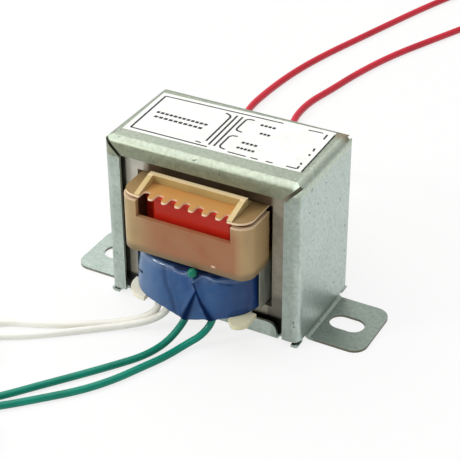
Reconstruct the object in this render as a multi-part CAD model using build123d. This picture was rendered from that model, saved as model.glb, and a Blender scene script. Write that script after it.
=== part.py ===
from build123d import *
import os
from math import cos, pi, radians, sin, tan

# Small frame-mounted mains transformer: an EI lamination core on a two-section moulded bobbin,
# held in a folded steel channel with slotted feet. Millimetres; X runs along the feet, Y to the
# back and Z up. The origin is midway between the foot slots, on the plane that the feet rest on.

# Sheet steel
sheet = 0.5            # stock of the frame and of the base plate
fold_radius = 1.4      # outside radius of the frame's folds
plate_radius = 1.0     # outside radius of the base plate's folds
foot_radius = 0.6      # inside radius where a wall turns out into a foot
tab_radius = 0.2       # inside radius where a wall turns in under the base plate

# Core: one size of EI lamination
lam_width = 35.0
lam_height = 29.5
leg = 5.0              # outer legs and both yokes
tongue = 10.0          # centre leg, inside the bobbin
stack = 17.0           # thickness of the stacked laminations
lam_chamfer = 0.5      # upper corners, clear of the frame's folds
core_play = 0.1        # round the core inside the frame

# Frame
lip = 3.0              # width of the lips round the core's faces
lip_gap = 0.9          # from a core face to the inside of the lips
mitre_gap = 0.6        # slit between a side lip and the top lip
foot_reach = 5.5       # from the middle of a slot to the end of its foot
foot_width = 13.0
foot_corner = 2.5
slot_pitch = 45.0
slot_length = 6.2
slot_width = 4.0
tab_reach = 1.4        # of the clinched tabs under the base plate
tab_width = 1.6        # of those tabs, at the corners of the walls
tab_setback = 0.2      # from the front of the lips to the tabs

# Base plate
plate_lip = 2.8        # height of its lips above the core's underside
plate_gap = 1.0        # between its lips and the frame's side lips
plate_corner = 1.6

# Bobbin
moulding = 0.8         # walls, divider and bottom flange
top_flange_wall = 0.4  # thinner, as it carries the comb
barrel_play = 0.1      # round the tongue
window_play = 0.15     # between the end flanges and the yokes
divider_height = 13.9  # underside of the divider
divider_setback = 2.2  # from the shroud's front to the divider's edge
flange_play = 0.9      # beside the flanges, in the core's windows
flange_setback = 0.1   # from the shroud's front to the top flange's edge
flange_corner = 2.6
lobe_inset = 0.6       # the bottom flange is this much narrower each side than the top one
lobe_setback = 0.1     # from the secondary tape's lower edge to the bottom flange's lobes
lobe_corner = 3.9
lobe_length = 4.6      # of the lobes, from the front to the back
lobe_root = 0.7        # from the lobes' sides to those of the flange between the ends
left_lobe = 4.2        # widths of the lobes left beside the lead notch
right_lobe = 2.6
right_reach = 0.8      # the right lobe stands out this much more than the left one
right_corner = 1.9
right_cut = 1.2        # off the right lobe's corner at the notch
notch_setback = 2.0    # from the secondary's front to the root of the lead notch
tray_inset = 2.7       # from the flange's side to the upstand round the lead tray
tray_wall = 0.9
tray_gap = 0.6         # from the barrel to the upstand's back wall
tray_height = 1.5
horn_height = 0.15     # where the upstand runs out at the front
comb_spacing = 2.4     # about, for the number of gaps from one side of the tray to the other
comb_depth = 1.8
gap_share = 0.49       # width of a gap at its root, of the comb's pitch
lean_share = 0.15      # the right side of each gap leans out by this much at the mouth, of the pitch
root_share = 0.43      # radius at a gap's root, of its width
tip_share = 0.45       # radius at a tooth's tip, of the tip's width

# Windings: plays are taken from the core's windows along X
primary_play = 2.2
primary_corner = 4.2
inner_share = 0.51     # the inner secondary, of the room from the barrel to the outer one's side
inner_corner = 2.6
outer_play = 1.5
outer_depth = 15.5     # from the middle to the outer secondary's front
outer_corner = 6.6
crown = 1.6            # a wound side bulges by this much in its middle
tape = 0.4             # built-up thickness of wound tape
turn_in = 0.3          # the secondary's tape turns in over the top of its winding
pad_rise = 1.3         # raised front of the primary's tape, over the winding
pad_play = 0.55        # from there to the inside of the shroud
pad_inset_left = 2.25  # from the sides of the shroud's window
pad_inset_right = 0.45
pad_corner = 0.7
flare = 1.4            # the secondary tape's lower edge stands out over the leads
skirt_drop = 1.4       # that edge hangs below the bottom flange's upper face
skirt_crown = 3.2
tape_corner = 7.0

# Liners of insulating film, beside the secondary in the core's windows
liner = 0.25
liner_depth = 11.2     # from the middle to their front and back edges

# Shrouds round the primary section
shroud_side = 0.6      # beside the shrouds, in the core's windows
shroud_step = 0.05     # from the secondary's front to the shroud's
shroud_corner = 2.5
shroud_play = 0.55     # under the top flange
post = 3.25            # width of the posts beside the window
window_sill = 6.6      # wall left standing below the window

# Paper label on the top
label_length = 32.2
label_width = 14.0
label_thickness = 0.1
label_x = -0.4
label_y = 0.9
label_turn = 1.5

# Leads
primary_lead = 1.5     # outside diameters
secondary_lead = 1.25
strands = 0.7          # tinned ends
stripped = 3.5
sleeve = 1.6           # green sleeve end at the top of the secondary's tape
sleeve_x = 2.1
sleeve_high = 0.3      # middle of its round end, above the tape's upper edge
sleeve_rise = 0.5      # from its lower end to there
sleeve_bed = 0.3       # the sleeve is pressed this far into the tape
coil_radius = 6.8      # at the middle of a coil's turns
coil_span = 302.0
coil_width = 2.6
coil_height = 2.6
coil_round = 0.9
tie = 0.4
tie_span = 22.0
bend_share = 0.45      # of the shorter run at each corner of a lead's route
entry_run = 5.2        # last straight run of a lead into its coil
lead_play = 0.05       # between turns of a lead, and over the tray
floor_play = 0.005     # under the leads that lie on the floor

# Worked-out sizes
frame_width = lam_width + 2 * (core_play + sheet)
frame_depth = stack + 2 * (lip_gap + sheet)
core_low = 2 * sheet
frame_height = core_low + lam_height + core_play + sheet
flat_half = frame_depth / 2 - fold_radius
lip_low = sheet + foot_radius
tab_high = sheet + tab_radius
tab_front = frame_depth / 2 - tab_setback
bobbin_low = core_low + leg + window_play
bobbin_high = core_low + lam_height - leg - window_play
barrel_half = tongue / 2 + barrel_play + moulding
barrel_depth = stack / 2 + barrel_play + moulding
lower_low = bobbin_low + moulding
upper_low = divider_height + moulding
upper_high = bobbin_high - top_flange_wall
core_face = stack / 2
window_edge = lam_width / 2 - leg
shroud_half = window_edge - shroud_side
shroud_front = outer_depth + shroud_step
shroud_high = upper_high - shroud_play
window_half = shroud_half - post
divider_half = shroud_half - moulding / 2
divider_depth = shroud_front - divider_setback
flange_half = window_edge - flange_play
flange_depth = shroud_front - flange_setback
tray_half = flange_half - tray_inset
tray_back = barrel_depth + tray_gap
comb_half = tray_half - tray_wall
comb_gaps = round(2 * comb_half / comb_spacing)
comb_pitch = 2 * comb_half / (comb_gaps - 1 + gap_share)
comb_gap = gap_share * comb_pitch
comb_lean = lean_share * comb_pitch
comb_round = root_share * comb_gap
tooth_round = tip_share * (comb_pitch - comb_gap - comb_lean)
comb_edge = flange_depth - comb_depth
primary_half = window_edge - primary_play - tape
pad_front = shroud_front - moulding - pad_play
primary_depth = pad_front - pad_rise
outer_half = window_edge - outer_play - tape
inner_build = inner_share * (outer_half - barrel_half)
inner_half = barrel_half + inner_build
inner_depth = barrel_depth + inner_build
outer_high = divider_height - turn_in
skirt_depth = outer_depth + tape + flare
lobe_depth = skirt_depth - lobe_setback
lobe_half = flange_half - lobe_inset
lead_notch_left = lobe_half - left_lobe
lead_notch_right = lobe_half - right_lobe
lead_notch_root = outer_depth - notch_setback
pad_left = window_half - pad_inset_left
pad_right = window_half - pad_inset_right
sleeve_y = -(outer_depth + tape + sleeve / 2 - sleeve_bed)
sleeve_z = divider_height + sleeve_high


def block(x, y, z):
    """Box between the pairs of limits x, y and z."""
    size = [b - a for a, b in (x, y, z)]
    middle = [(a + b) / 2 for a, b in (x, y, z)]
    return Pos(*middle) * Box(*size)


def prism(face, low, high):
    """A face drawn in XY, carried up from low to high."""
    return extrude(Pos(0, 0, low) * face, high - low)


def mirrored(shape, plane):
    """A shape together with its mirror image."""
    return shape + mirror(shape, plane)


def arch(width, low, high, radius):
    """Face in XZ: a rectangle whose two upper corners are rounded."""
    face = Pos(0, (low + high) / 2) * Rectangle(width, high - low)
    return Plane.XZ * fillet(face.vertices().group_by(Axis.Y)[-1], radius)


def fold_section(radius, reach):
    """A fold and its lip: x runs in from the outer face of the web, y in from that of the lip."""
    ring = Circle(radius) - Circle(radius - sheet)
    quarter = ring & (Pos(-radius / 2, -radius / 2) * Rectangle(radius, radius))
    flat = Pos((radius + reach) / 2, sheet / 2) * Rectangle(reach - radius, sheet)
    return Pos(radius, radius) * quarter + flat


def side_lip():
    """Front lip of the right wall, cut along the mitre at its upper end."""
    plane = Plane((frame_width / 2, -frame_depth / 2, frame_height), (-1, 0, 0), (0, 0, -1))
    bar = extrude(plane * fold_section(fold_radius, lip), frame_height - lip_low)
    edge = frame_width / 2
    slit = mitre_gap / 2 * 2 ** 0.5
    zone = Polygon(
        (edge - 2 * lip, lip_low), (edge + lip, lip_low),
        (edge + lip, frame_height + lip - slit), (edge - 2 * lip, frame_height - 2 * lip - slit),
        align=None,
    )
    return bar & extrude(Plane.XZ * zone, frame_depth, both=True)


def top_lip():
    """Front lip of the top, cut along both mitres."""
    plane = Plane((-frame_width / 2, -frame_depth / 2, frame_height), (0, 0, -1), (1, 0, 0))
    bar = extrude(plane * fold_section(fold_radius, lip), frame_width)
    slit = mitre_gap / 2 * 2 ** 0.5
    near = frame_width / 2 - 2 * lip - slit
    far = frame_width / 2 + lip - slit
    zone = Polygon(
        (-near, frame_height - 2 * lip), (near, frame_height - 2 * lip),
        (far, frame_height + lip), (-far, frame_height + lip),
        align=None,
    )
    return bar & extrude(Plane.XZ * zone, frame_depth, both=True)


def foot():
    """Right foot: the wall turned out through a fold, with rounded corners and a slot."""
    turn_x = frame_width / 2 + foot_radius
    turn_z = sheet + foot_radius
    ring = Circle(foot_radius + sheet) - Circle(foot_radius)
    half = (foot_radius + sheet) / 2
    quarter = ring & (Pos(-half, -half) * Rectangle(2 * half, 2 * half))
    fold = extrude(Plane.XZ * (Pos(turn_x, turn_z) * quarter), foot_width / 2, both=True)
    end_x = slot_pitch / 2 + foot_reach
    plate = Pos((turn_x + end_x) / 2, 0) * Rectangle(end_x - turn_x, foot_width)
    plate = fillet(plate.vertices().group_by(Axis.X)[-1], foot_corner)
    plate -= Pos(slot_pitch / 2, 0) * SlotOverall(slot_length, slot_width)
    return fold + prism(plate, 0, sheet)


def tab():
    """Clinched tab at the front corner of the right wall: it turns in under the base plate."""
    turn_x = frame_width / 2 - sheet - tab_radius
    ring = Circle(tab_radius + sheet) - Circle(tab_radius)
    half = (tab_radius + sheet) / 2
    quarter = Pos(turn_x, tab_high) * (ring & (Pos(half, -half) * Rectangle(2 * half, 2 * half)))
    end_x = frame_width / 2 - tab_reach
    flat = Pos((end_x + turn_x) / 2, sheet / 2) * Rectangle(turn_x - end_x, sheet)
    section = Plane.XZ * (quarter + flat)
    back = tab_front - tab_width
    wall = (frame_width / 2 - sheet, frame_width / 2)
    stub = block(wall, (-flat_half, -back), (tab_high, lip_low))
    return Pos(0, -back, 0) * extrude(section, tab_width) + stub


def make_frame():
    """Folded steel channel over the top and both sides of the core, with lips, feet and tabs."""
    outer = extrude(arch(frame_width, lip_low, frame_height, fold_radius), flat_half, both=True)
    inner_width = frame_width - 2 * sheet
    inner = arch(inner_width, lip_low, frame_height - sheet, fold_radius - sheet)
    web = outer - extrude(inner, flat_half, both=True)
    skin = extrude(arch(frame_width, 0, frame_height, fold_radius), frame_depth / 2, both=True)
    lips = mirrored(side_lip(), Plane.YZ) + top_lip()
    lips = mirrored(lips & skin, Plane.XZ)
    ends = mirrored(foot() + mirrored(tab(), Plane.XZ), Plane.YZ)
    return web + lips + ends


def make_base_plate():
    """Steel plate under the core, with upturned lips between the frame's side lips."""
    half = frame_width / 2 - lip - plate_gap
    plane = Plane((-half, -frame_depth / 2, sheet), (0, 0, 1), (-1, 0, 0))
    section = fold_section(plate_radius, sheet + plate_lip)
    front = extrude(plane * section, -2 * half)
    corners = front.edges().filter_by(Axis.Y).group_by(Axis.Z)[-1]
    lips = mirrored(fillet(corners, plate_corner), Plane.XZ)
    flat = frame_depth / 2 - plate_radius
    floor = block((-half, half), (-flat, flat), (sheet, core_low))
    reach = frame_width / 2 - sheet - tab_radius
    ears = block((-reach, reach), (-flat_half, flat_half), (sheet, core_low))
    return lips + floor + ears


def make_e_laminations():
    """Stack of E laminations: the upper yoke with the centre leg and both outer legs."""
    low, high = core_low + leg, core_low + lam_height
    depth = (-core_face, core_face)
    yoke = block((-lam_width / 2, lam_width / 2), depth, (high - leg, high))
    outer = block((lam_width / 2 - leg, lam_width / 2), depth, (low, high))
    centre = block((-tongue / 2, tongue / 2), depth, (low, high))
    body = yoke + mirrored(outer, Plane.YZ) + centre
    corners = body.edges().filter_by(Axis.Y).group_by(Axis.Z)[-1]
    return chamfer(corners, lam_chamfer)


def make_i_laminations():
    """Stack of I laminations: the lower yoke."""
    width = (-lam_width / 2, lam_width / 2)
    return block(width, (-core_face, core_face), (core_low, core_low + leg))


def comb_cut():
    """Gaps of the front comb: upright on the left, leaning out on the right, round at the root."""
    mouth = flange_depth + comb_depth
    reach = comb_gap + comb_lean * (mouth - comb_edge) / comb_depth
    gap = Polygon((0, -comb_edge), (0, -mouth), (reach, -mouth), (comb_gap, -comb_edge), align=None)
    gap = fillet(gap.vertices().group_by(Axis.Y)[-1], comb_round)
    cut = Sketch()
    for i in range(comb_gaps):
        cut += Pos(i * comb_pitch - comb_half, 0) * gap
    return cut & (Pos(0, -flange_depth) * Rectangle(2 * comb_half, 4 * comb_depth))


def comb_teeth_tips(face):
    """Corners of the front comb's teeth, on the flange's front edge."""
    front = [v for v in face.vertices() if abs(v.Y + flange_depth) < 0.001]
    return [v for v in front if abs(v.X) < comb_half - tooth_round]


def top_flange():
    """Upper flange with a comb along its front and its back edge."""
    face = RectangleRounded(2 * flange_half, 2 * flange_depth, flange_corner)
    face -= comb_cut()
    face = fillet(comb_teeth_tips(face), tooth_round)
    face = Rot(0, 0, 180) * face - comb_cut()
    return prism(fillet(comb_teeth_tips(face), tooth_round), upper_high, bobbin_high)


def tray():
    """Upstand round the front lead tray: a back wall and two sides that run out to the front."""
    high = bobbin_high + tray_height
    inside = tray_back + tray_wall
    back = block((-tray_half, tray_half), (-inside, -tray_back), (bobbin_high, high))
    side = Polygon(
        (-inside, bobbin_high), (-inside, high),
        (-flange_depth, bobbin_high + horn_height), (-flange_depth, bobbin_high),
        align=None,
    )
    start = Plane((comb_half, 0, 0), (0, 1, 0), (1, 0, 0))
    return back + mirrored(extrude(start * side, tray_wall), Plane.YZ)


def lobe(inner, outer):
    """Plan of a lobe at the front of the lower flange, between two limits along X."""
    front, back = -lobe_depth, lobe_length - lobe_depth
    return Pos((inner + outer) / 2, (front + back) / 2) * Rectangle(abs(outer - inner), back - front)


def bottom_flange():
    """Lower flange: lobes at the corners, left standing beside the notch for the leads."""
    left = lobe(-lead_notch_left, -lobe_half)
    left = fillet(left.vertices().group_by(Axis.Y)[0].sort_by(Axis.X)[0], lobe_corner)
    right = lobe(lead_notch_right, lobe_half + right_reach)
    right = fillet(right.vertices().group_by(Axis.Y)[0].sort_by(Axis.X)[-1], right_corner)
    right = chamfer(right.vertices().group_by(Axis.X)[0].sort_by(Axis.Y)[0], right_cut)
    lobes = left + right
    root = Rectangle(2 * (lobe_half - lobe_root), 2 * lead_notch_root)
    return prism(root + lobes + Rot(0, 0, 180) * lobes, bobbin_low, lower_low)


def make_bobbin():
    """Two-section moulded bobbin on the centre leg, with a lead tray and comb at each end."""
    barrel = prism(Rectangle(2 * barrel_half, 2 * barrel_depth), bobbin_low, bobbin_high)
    divider = RectangleRounded(2 * divider_half, 2 * divider_depth, flange_corner)
    body = barrel + bottom_flange() + prism(divider, divider_height, upper_low) + top_flange()
    body += tray() + Rot(0, 0, 180) * tray()
    hole_half = barrel_half - moulding
    hole_depth = barrel_depth - moulding
    return body - prism(Rectangle(2 * hole_half, 2 * hole_depth), bobbin_low, bobbin_high)


def wound_outline(half, depth, corner, bulge, back=None):
    """Plan of a winding: straight sides, crowned front and back, rounded corners."""
    back = depth if back is None else back
    front_low, back_low = -(depth - bulge), back - bulge
    front = ThreePointArc((-half, front_low), (0, -depth), (half, front_low))
    rear = ThreePointArc((half, back_low), (0, back), (-half, back_low))
    right = Line((half, front_low), (half, back_low))
    left = Line((-half, back_low), (-half, front_low))
    face = make_face([front, right, rear, left])
    return fillet(face.vertices(), corner)


def ring(outer, inner, low, high):
    """A wound layer between two outlines."""
    return prism(outer - inner, low, high)


def barrel_outline():
    return Rectangle(2 * barrel_half, 2 * barrel_depth)


def primary_outline(extra=0.0):
    return wound_outline(primary_half + extra, primary_depth + extra, primary_corner + extra, crown / 2)


def inner_outline(extra=0.0):
    return wound_outline(inner_half + extra, inner_depth + extra, inner_corner + extra, crown / 2)


def outer_outline():
    return wound_outline(outer_half, outer_depth, outer_corner, crown)


def make_primary_tape():
    """Tape over the primary, built up to a flat pad at the front."""
    width = pad_left + pad_right
    root = primary_depth - primary_corner
    pad = Pos((pad_right - pad_left) / 2, -(root + pad_front) / 2) * Rectangle(width, pad_front - root)
    pad = fillet(pad.vertices().group_by(Axis.Y)[0], pad_corner)
    outline = primary_outline(tape) + pad
    return ring(outline, primary_outline(), upper_low, upper_high)


def make_secondary_tape():
    """Tape over the secondary: turned in at the top, flared over the leads at the lower front."""
    half = outer_half + tape
    back = outer_depth + tape
    upper = wound_outline(half, outer_depth + tape, tape_corner, crown, back)
    lower = wound_outline(half, skirt_depth, tape_corner, skirt_crown, back)
    low = lower_low - skirt_drop
    body = loft([Pos(0, 0, lower_low) * lower, Pos(0, 0, divider_height) * upper])
    skirt = lower & (Pos((lead_notch_right - lead_notch_left) / 2, -lobe_depth) * Rectangle(
        lead_notch_left + lead_notch_right - tape, 2 * (lobe_depth - outer_depth - tape)))
    body += prism(skirt, low, lower_low)
    body -= prism(outer_outline(), low, outer_high)
    body -= prism(inner_outline(tape / 2), low, divider_height)
    return body - make_sleeve_end()


def make_sleeve_end():
    """End of the green lead's sleeve, standing out of the top edge of the secondary's tape."""
    radius = sleeve / 2
    stem = Pos(sleeve_x, sleeve_y, sleeve_z - sleeve_rise / 2) * Cylinder(radius, sleeve_rise)
    return stem + Pos(sleeve_x, sleeve_y, sleeve_z) * Sphere(radius)


def make_liner():
    """Right liner: film that stands against the divider, between the secondary and the core."""
    return block((divider_half, divider_half + liner), (-liner_depth, liner_depth), (lower_low, upper_low))


def make_shroud():
    """Front cover of the primary section: a rounded U with a window in its upper edge."""
    outer = RectangleRounded(2 * shroud_half, 2 * shroud_front, shroud_corner)
    inner = RectangleRounded(
        2 * (shroud_half - moulding), 2 * (shroud_front - moulding), shroud_corner - moulding)
    wall = prism(outer - inner, upper_low, shroud_high)
    front = block((-lam_width, lam_width), (-2 * shroud_front, -core_face), (upper_low, shroud_high))
    sill = upper_low + window_sill
    window = block((-window_half, window_half), (-2 * shroud_front, -core_face), (sill, shroud_high))
    return (wall & front) - window


def make_label():
    """Paper label stuck to the top of the frame, a little askew."""
    face = Pos(label_x, label_y) * (Rot(0, 0, label_turn) * Rectangle(label_length, label_width))
    return prism(face, frame_height, frame_height + label_thickness)


# Lead routes. Each secondary lead leaves the underside of its winding, in the notch of the bottom
# flange, drops to the floor and runs to a tied coil. The primary leads leave the rear tray, come
# down behind the core and run along the floor.
floor_z = secondary_lead / 2 + floor_play
far_floor_z = primary_lead / 2 + 2 * floor_play
tray_z = bobbin_high + primary_lead / 2 + lead_play
coil_z = tie + secondary_lead / 2
layer = secondary_lead + lead_play

green_coil_centre = (-21.4, -58.4)
green_entry = 139.5
white_coil_centre = (-33.6, -41.0)
white_entry = 121.5


def entry_points(centre, angle, offset):
    """The last two points of a lead: it meets the coil's end face squarely, along the tangent."""
    radius = coil_radius + offset
    a = radians(angle)
    x, y = centre[0] + radius * cos(a), centre[1] + radius * sin(a)
    before = (x + entry_run * sin(a), y - entry_run * cos(a), (floor_z + coil_z) / 2)
    return [before, (x, y, coil_z)]


green_route_a = [
    (0.2, -14.6, lower_low), (0.2, -14.6, 4.6), (-0.6, -16.2, 2.2), (-1.7, -19.2, 0.8),
    (-3.4, -23.2, floor_z), (-6.2, -28.2, floor_z), (-9.8, -33.1, floor_z),
    (-14.0, -38.6, floor_z), (-18.2, -44.0, floor_z),
] + entry_points(green_coil_centre, green_entry, layer / 2)
green_route_b = [
    (4.9, -14.4, lower_low), (4.9, -14.4, 4.6), (3.7, -16.2, 2.2), (2.2, -19.2, 0.9),
    (0.4, -22.8, floor_z), (-1.6, -27.3, floor_z), (-3.9, -31.8, floor_z),
    (-7.2, -36.4, floor_z), (-11.6, -40.8, floor_z), (-16.4, -45.4, floor_z),
] + entry_points(green_coil_centre, green_entry, -layer / 2)
white_route_a = [
    (-5.5, -14.4, lower_low), (-5.5, -14.4, 4.7), (-6.9, -15.0, 2.4), (-9.6, -16.7, 0.9),
    (-13.0, -18.8, floor_z), (-17.0, -21.5, floor_z), (-22.5, -24.9, floor_z),
    (-28.4, -28.2, floor_z),
] + entry_points(white_coil_centre, white_entry, layer / 2)
white_route_b = [
    (-3.3, -14.6, lower_low), (-3.3, -14.6, 4.7), (-4.2, -15.6, 2.3), (-6.4, -17.1, 1.0),
    (-9.4, -19.0, floor_z), (-13.6, -21.6, floor_z), (-19.4, -25.8, floor_z),
    (-26.2, -29.9, floor_z),
] + entry_points(white_coil_centre, white_entry, -layer / 2)
red_route_a = [
    (-4.9, tray_back + tray_wall, tray_z), (-4.9, 15.8, tray_z), (-5.9, 21.0, 22.4),
    (-8.2, 26.6, 15.2), (-11.6, 32.6, 7.4), (-16.4, 40.2, 2.2), (-21.6, 49.0, far_floor_z),
    (-25.8, 58.8, far_floor_z), (-28.0, 68.6, far_floor_z), (-27.4, 79.4, far_floor_z),
    (-24.6, 90.6, far_floor_z), (-20.4, 104.6, far_floor_z), (-15.8, 120.4, far_floor_z),
    (-11.4, 133.8, far_floor_z), (-7.6, 143.2, far_floor_z),
]
red_route_b = [
    (2.4, tray_back + tray_wall, tray_z), (2.4, 15.8, tray_z), (1.5, 21.0, 22.4),
    (-0.9, 26.6, 15.2), (-4.2, 32.6, 7.4), (-8.3, 40.4, 2.2), (-12.8, 49.2, far_floor_z),
    (-16.4, 58.6, far_floor_z), (-17.7, 67.4, far_floor_z), (-16.2, 76.0, far_floor_z),
    (-13.6, 85.6, far_floor_z), (-9.7, 98.4, far_floor_z), (-4.6, 112.0, far_floor_z),
    (0.4, 123.6, far_floor_z), (4.6, 132.0, far_floor_z), (8.9, 142.6, far_floor_z),
]


def route_radii(points):
    """Bend radius at each corner of a route: as large as its shorter run allows."""
    radii = []
    for a, b, c in zip(points, points[1:], points[2:]):
        run_in, run_out = Vector(*b) - Vector(*a), Vector(*c) - Vector(*b)
        turn = radians(run_in.get_angle(run_out))
        radii.append(bend_share * min(run_in.length, run_out.length) / tan(turn / 2))
    return radii


def make_lead(name, points, diameter):
    """Insulated lead: a round tube along straight runs joined by tangent arcs."""
    radii = route_radii(points)
    path = FilletPolyline(*points, radius=radii)
    tube = sweep(Plane(path @ 0, z_dir=path % 0) * Circle(diameter / 2), path=path)
    print(name, f"length {path.length:.1f}, tightest bend {min(radii):.1f},",
          f"volume {tube.volume / (pi * diameter ** 2 / 4 * path.length):.4f} of section x length")
    return tube


def coil_section(extra=0.0):
    """Section of a coil's bundle of turns, grown by extra on every side."""
    face = RectangleRounded(coil_width + 2 * extra, coil_height + 2 * extra, coil_round + extra)
    return Plane.XZ * (Pos(coil_radius, tie + coil_height / 2) * face)


def turned(section, centre, start, span):
    """A section of the coil, revolved about the coil's axis from start through span degrees."""
    return Pos(*centre) * (Rot(0, 0, start) * revolve(section, Axis.Z, span))


def make_coil(centre, entry):
    """Bundle of turns, open by a small gap where the leads come in."""
    return turned(coil_section(), centre, entry, coil_span)


def make_tie(centre, entry):
    """Band round the bundle, opposite the gap."""
    start = entry + (coil_span - tie_span) / 2
    return turned(coil_section(tie) - coil_section(), centre, start, tie_span)


def make_coil_ends(centre, entry):
    """Stripped and tinned ends of the two leads, out of the coil's far end face."""
    end = Plane.XZ * (Pos(coil_radius, coil_z + layer) * Circle(strands / 2))
    pair = [extrude(Pos(side * layer / 2, 0, 0) * end, -stripped) for side in (-1, 1)]
    return Pos(*centre) * (Rot(0, 0, entry + coil_span) * Compound(pair))


def make_free_ends(routes):
    """Stripped and tinned ends of leads that end free, in line with each lead's last run."""
    ends = []
    for points in routes:
        before, last = Vector(*points[-2]), Vector(*points[-1])
        ends.append(extrude(Plane(last, z_dir=last - before) * Circle(strands / 2), stripped))
    return Compound(ends)


nodes = {
    "frame": make_frame(),
    "base_plate": make_base_plate(),
    "e_laminations": make_e_laminations(),
    "i_laminations": make_i_laminations(),
    "bobbin": make_bobbin(),
    "primary_winding": ring(primary_outline(), barrel_outline(), upper_low, upper_high),
    "primary_tape": make_primary_tape(),
    "inner_secondary": ring(inner_outline(), barrel_outline(), lower_low, divider_height),
    "interlayer_tape": ring(inner_outline(tape / 2), inner_outline(), lower_low, divider_height),
    "outer_secondary": ring(outer_outline(), inner_outline(tape / 2), lower_low, outer_high),
    "secondary_tape": make_secondary_tape(),
    "green_sleeve_end": make_sleeve_end(),
    "left_liner": mirror(make_liner(), Plane.YZ),
    "right_liner": make_liner(),
    "front_shroud": make_shroud(),
    "rear_shroud": Rot(0, 0, 180) * make_shroud(),
    "label": make_label(),
    "red_lead_a": make_lead("red_lead_a", red_route_a, primary_lead),
    "red_lead_b": make_lead("red_lead_b", red_route_b, primary_lead),
    "green_lead_a": make_lead("green_lead_a", green_route_a, secondary_lead),
    "green_lead_b": make_lead("green_lead_b", green_route_b, secondary_lead),
    "white_lead_a": make_lead("white_lead_a", white_route_a, secondary_lead),
    "white_lead_b": make_lead("white_lead_b", white_route_b, secondary_lead),
    "green_coil": make_coil(green_coil_centre, green_entry),
    "white_coil": make_coil(white_coil_centre, white_entry),
    "green_tie": make_tie(green_coil_centre, green_entry),
    "white_tie": make_tie(white_coil_centre, white_entry),
    "red_wire_ends": make_free_ends([red_route_a, red_route_b]),
    "green_wire_ends": make_coil_ends(green_coil_centre, green_entry),
    "white_wire_ends": make_coil_ends(white_coil_centre, white_entry),
}

os.makedirs("parts", exist_ok=True)
for name, shape in nodes.items():
    export_step(shape, f"parts/{name}.step")
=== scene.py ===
"""Frame-mounted transformer: finishes, leads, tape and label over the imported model."""

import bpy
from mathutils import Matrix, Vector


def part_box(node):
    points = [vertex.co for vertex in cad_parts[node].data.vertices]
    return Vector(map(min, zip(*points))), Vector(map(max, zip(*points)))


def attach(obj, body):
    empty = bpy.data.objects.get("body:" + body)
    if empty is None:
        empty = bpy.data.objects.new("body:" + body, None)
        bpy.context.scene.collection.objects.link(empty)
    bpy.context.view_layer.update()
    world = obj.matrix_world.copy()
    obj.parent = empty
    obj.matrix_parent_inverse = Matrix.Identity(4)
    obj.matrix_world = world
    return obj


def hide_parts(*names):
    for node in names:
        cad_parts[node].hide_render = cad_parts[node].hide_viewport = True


bl_info = {
    "name": "Frame-mounted transformer",
    "version": (1, 0, 0),
    "blender": (4, 5, 0),
    "location": "View3D > Sidebar > Transformer",
    "description": "Leads, tape, label and finishes of a small frame-mounted transformer",
    "category": "Object",
}

from math import cos, pi, radians, sin

import bmesh
import bpy
import numpy as np
from bpy.props import FloatProperty, FloatVectorProperty, PointerProperty
from mathutils import Matrix, Vector

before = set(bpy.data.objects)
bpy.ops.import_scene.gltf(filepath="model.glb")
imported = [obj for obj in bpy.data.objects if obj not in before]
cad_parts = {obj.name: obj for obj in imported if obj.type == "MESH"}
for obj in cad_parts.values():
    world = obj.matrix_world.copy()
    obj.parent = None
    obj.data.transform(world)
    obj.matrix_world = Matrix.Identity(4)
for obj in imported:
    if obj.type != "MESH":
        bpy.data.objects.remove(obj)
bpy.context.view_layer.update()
MM = 0.001
WAVE_PHASE = 20.0


def linear(code):
    """Linear colour of an sRGB hex code: each channel goes through the sRGB curve."""
    parts = [int(code[i:i + 2], 16) / 255 for i in (0, 2, 4)]
    return [c / 12.92 if c <= 0.04045 else ((c + 0.055) / 1.055) ** 2.4 for c in parts]


def opaque(colour):
    """A colour with full alpha, as a shader's socket takes it."""
    return (*colour[:3], 1.0)


def per_mm(size):
    """Scale of a pattern whose features are this many millimetres apart."""
    return 1.0 / (size * MM)


def bands_per_mm(pitch):
    """Scale of a wave texture whose bands are this many millimetres apart.

    The texture's phase is WAVE_PHASE times the scaled place, and a band is one full turn of it."""
    return per_mm(pitch) * 2.0 * pi / WAVE_PHASE


def add(tree, kind, inputs=None, **settings):
    """Add a node: settings are its own values, inputs the sockets' values or what is linked to them."""
    made = tree.nodes.new("ShaderNode" + kind)
    for key, value in settings.items():
        setattr(made, key, value)
    for key, value in (inputs or {}).items():
        if isinstance(value, bpy.types.NodeSocket):
            tree.links.new(value, made.inputs[key])
        else:
            made.inputs[key].default_value = value
    return made


def finish(name):
    """Start a finish: a new material, its tree, its shader and the Object coordinates."""
    made = bpy.data.materials.new(name)
    made.use_nodes = True
    tree = made.node_tree
    return made, tree, tree.nodes["Principled BSDF"], add(tree, "TexCoord").outputs["Object"]


def blend(tree, share, first, second, low=0.0, high=1.0):
    """Colour that goes from first to second as share goes from low to high."""
    share = add(tree, "MapRange", {"Value": share, "From Min": low, "From Max": high}).outputs[0]
    first = first if isinstance(first, bpy.types.NodeSocket) else opaque(first)
    second = second if isinstance(second, bpy.types.NodeSocket) else opaque(second)
    return add(tree, "Mix", {0: share, 6: first, 7: second}, data_type="RGBA").outputs[2]


def span(tree, value, low, high, soft):
    """Share that is 1 between two limits in millimetres and falls to 0 over a soft edge outside them."""
    rise = add(tree, "MapRange", {"Value": value, "From Min": (low - soft) * MM, "From Max": low * MM},
               interpolation_type="SMOOTHSTEP").outputs[0]
    fall = add(tree, "MapRange", {"Value": value, "From Min": (high + soft) * MM, "From Max": high * MM},
               interpolation_type="SMOOTHSTEP").outputs[0]
    return add(tree, "Math", {0: rise, 1: fall}, operation="MULTIPLY").outputs[0]


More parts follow.
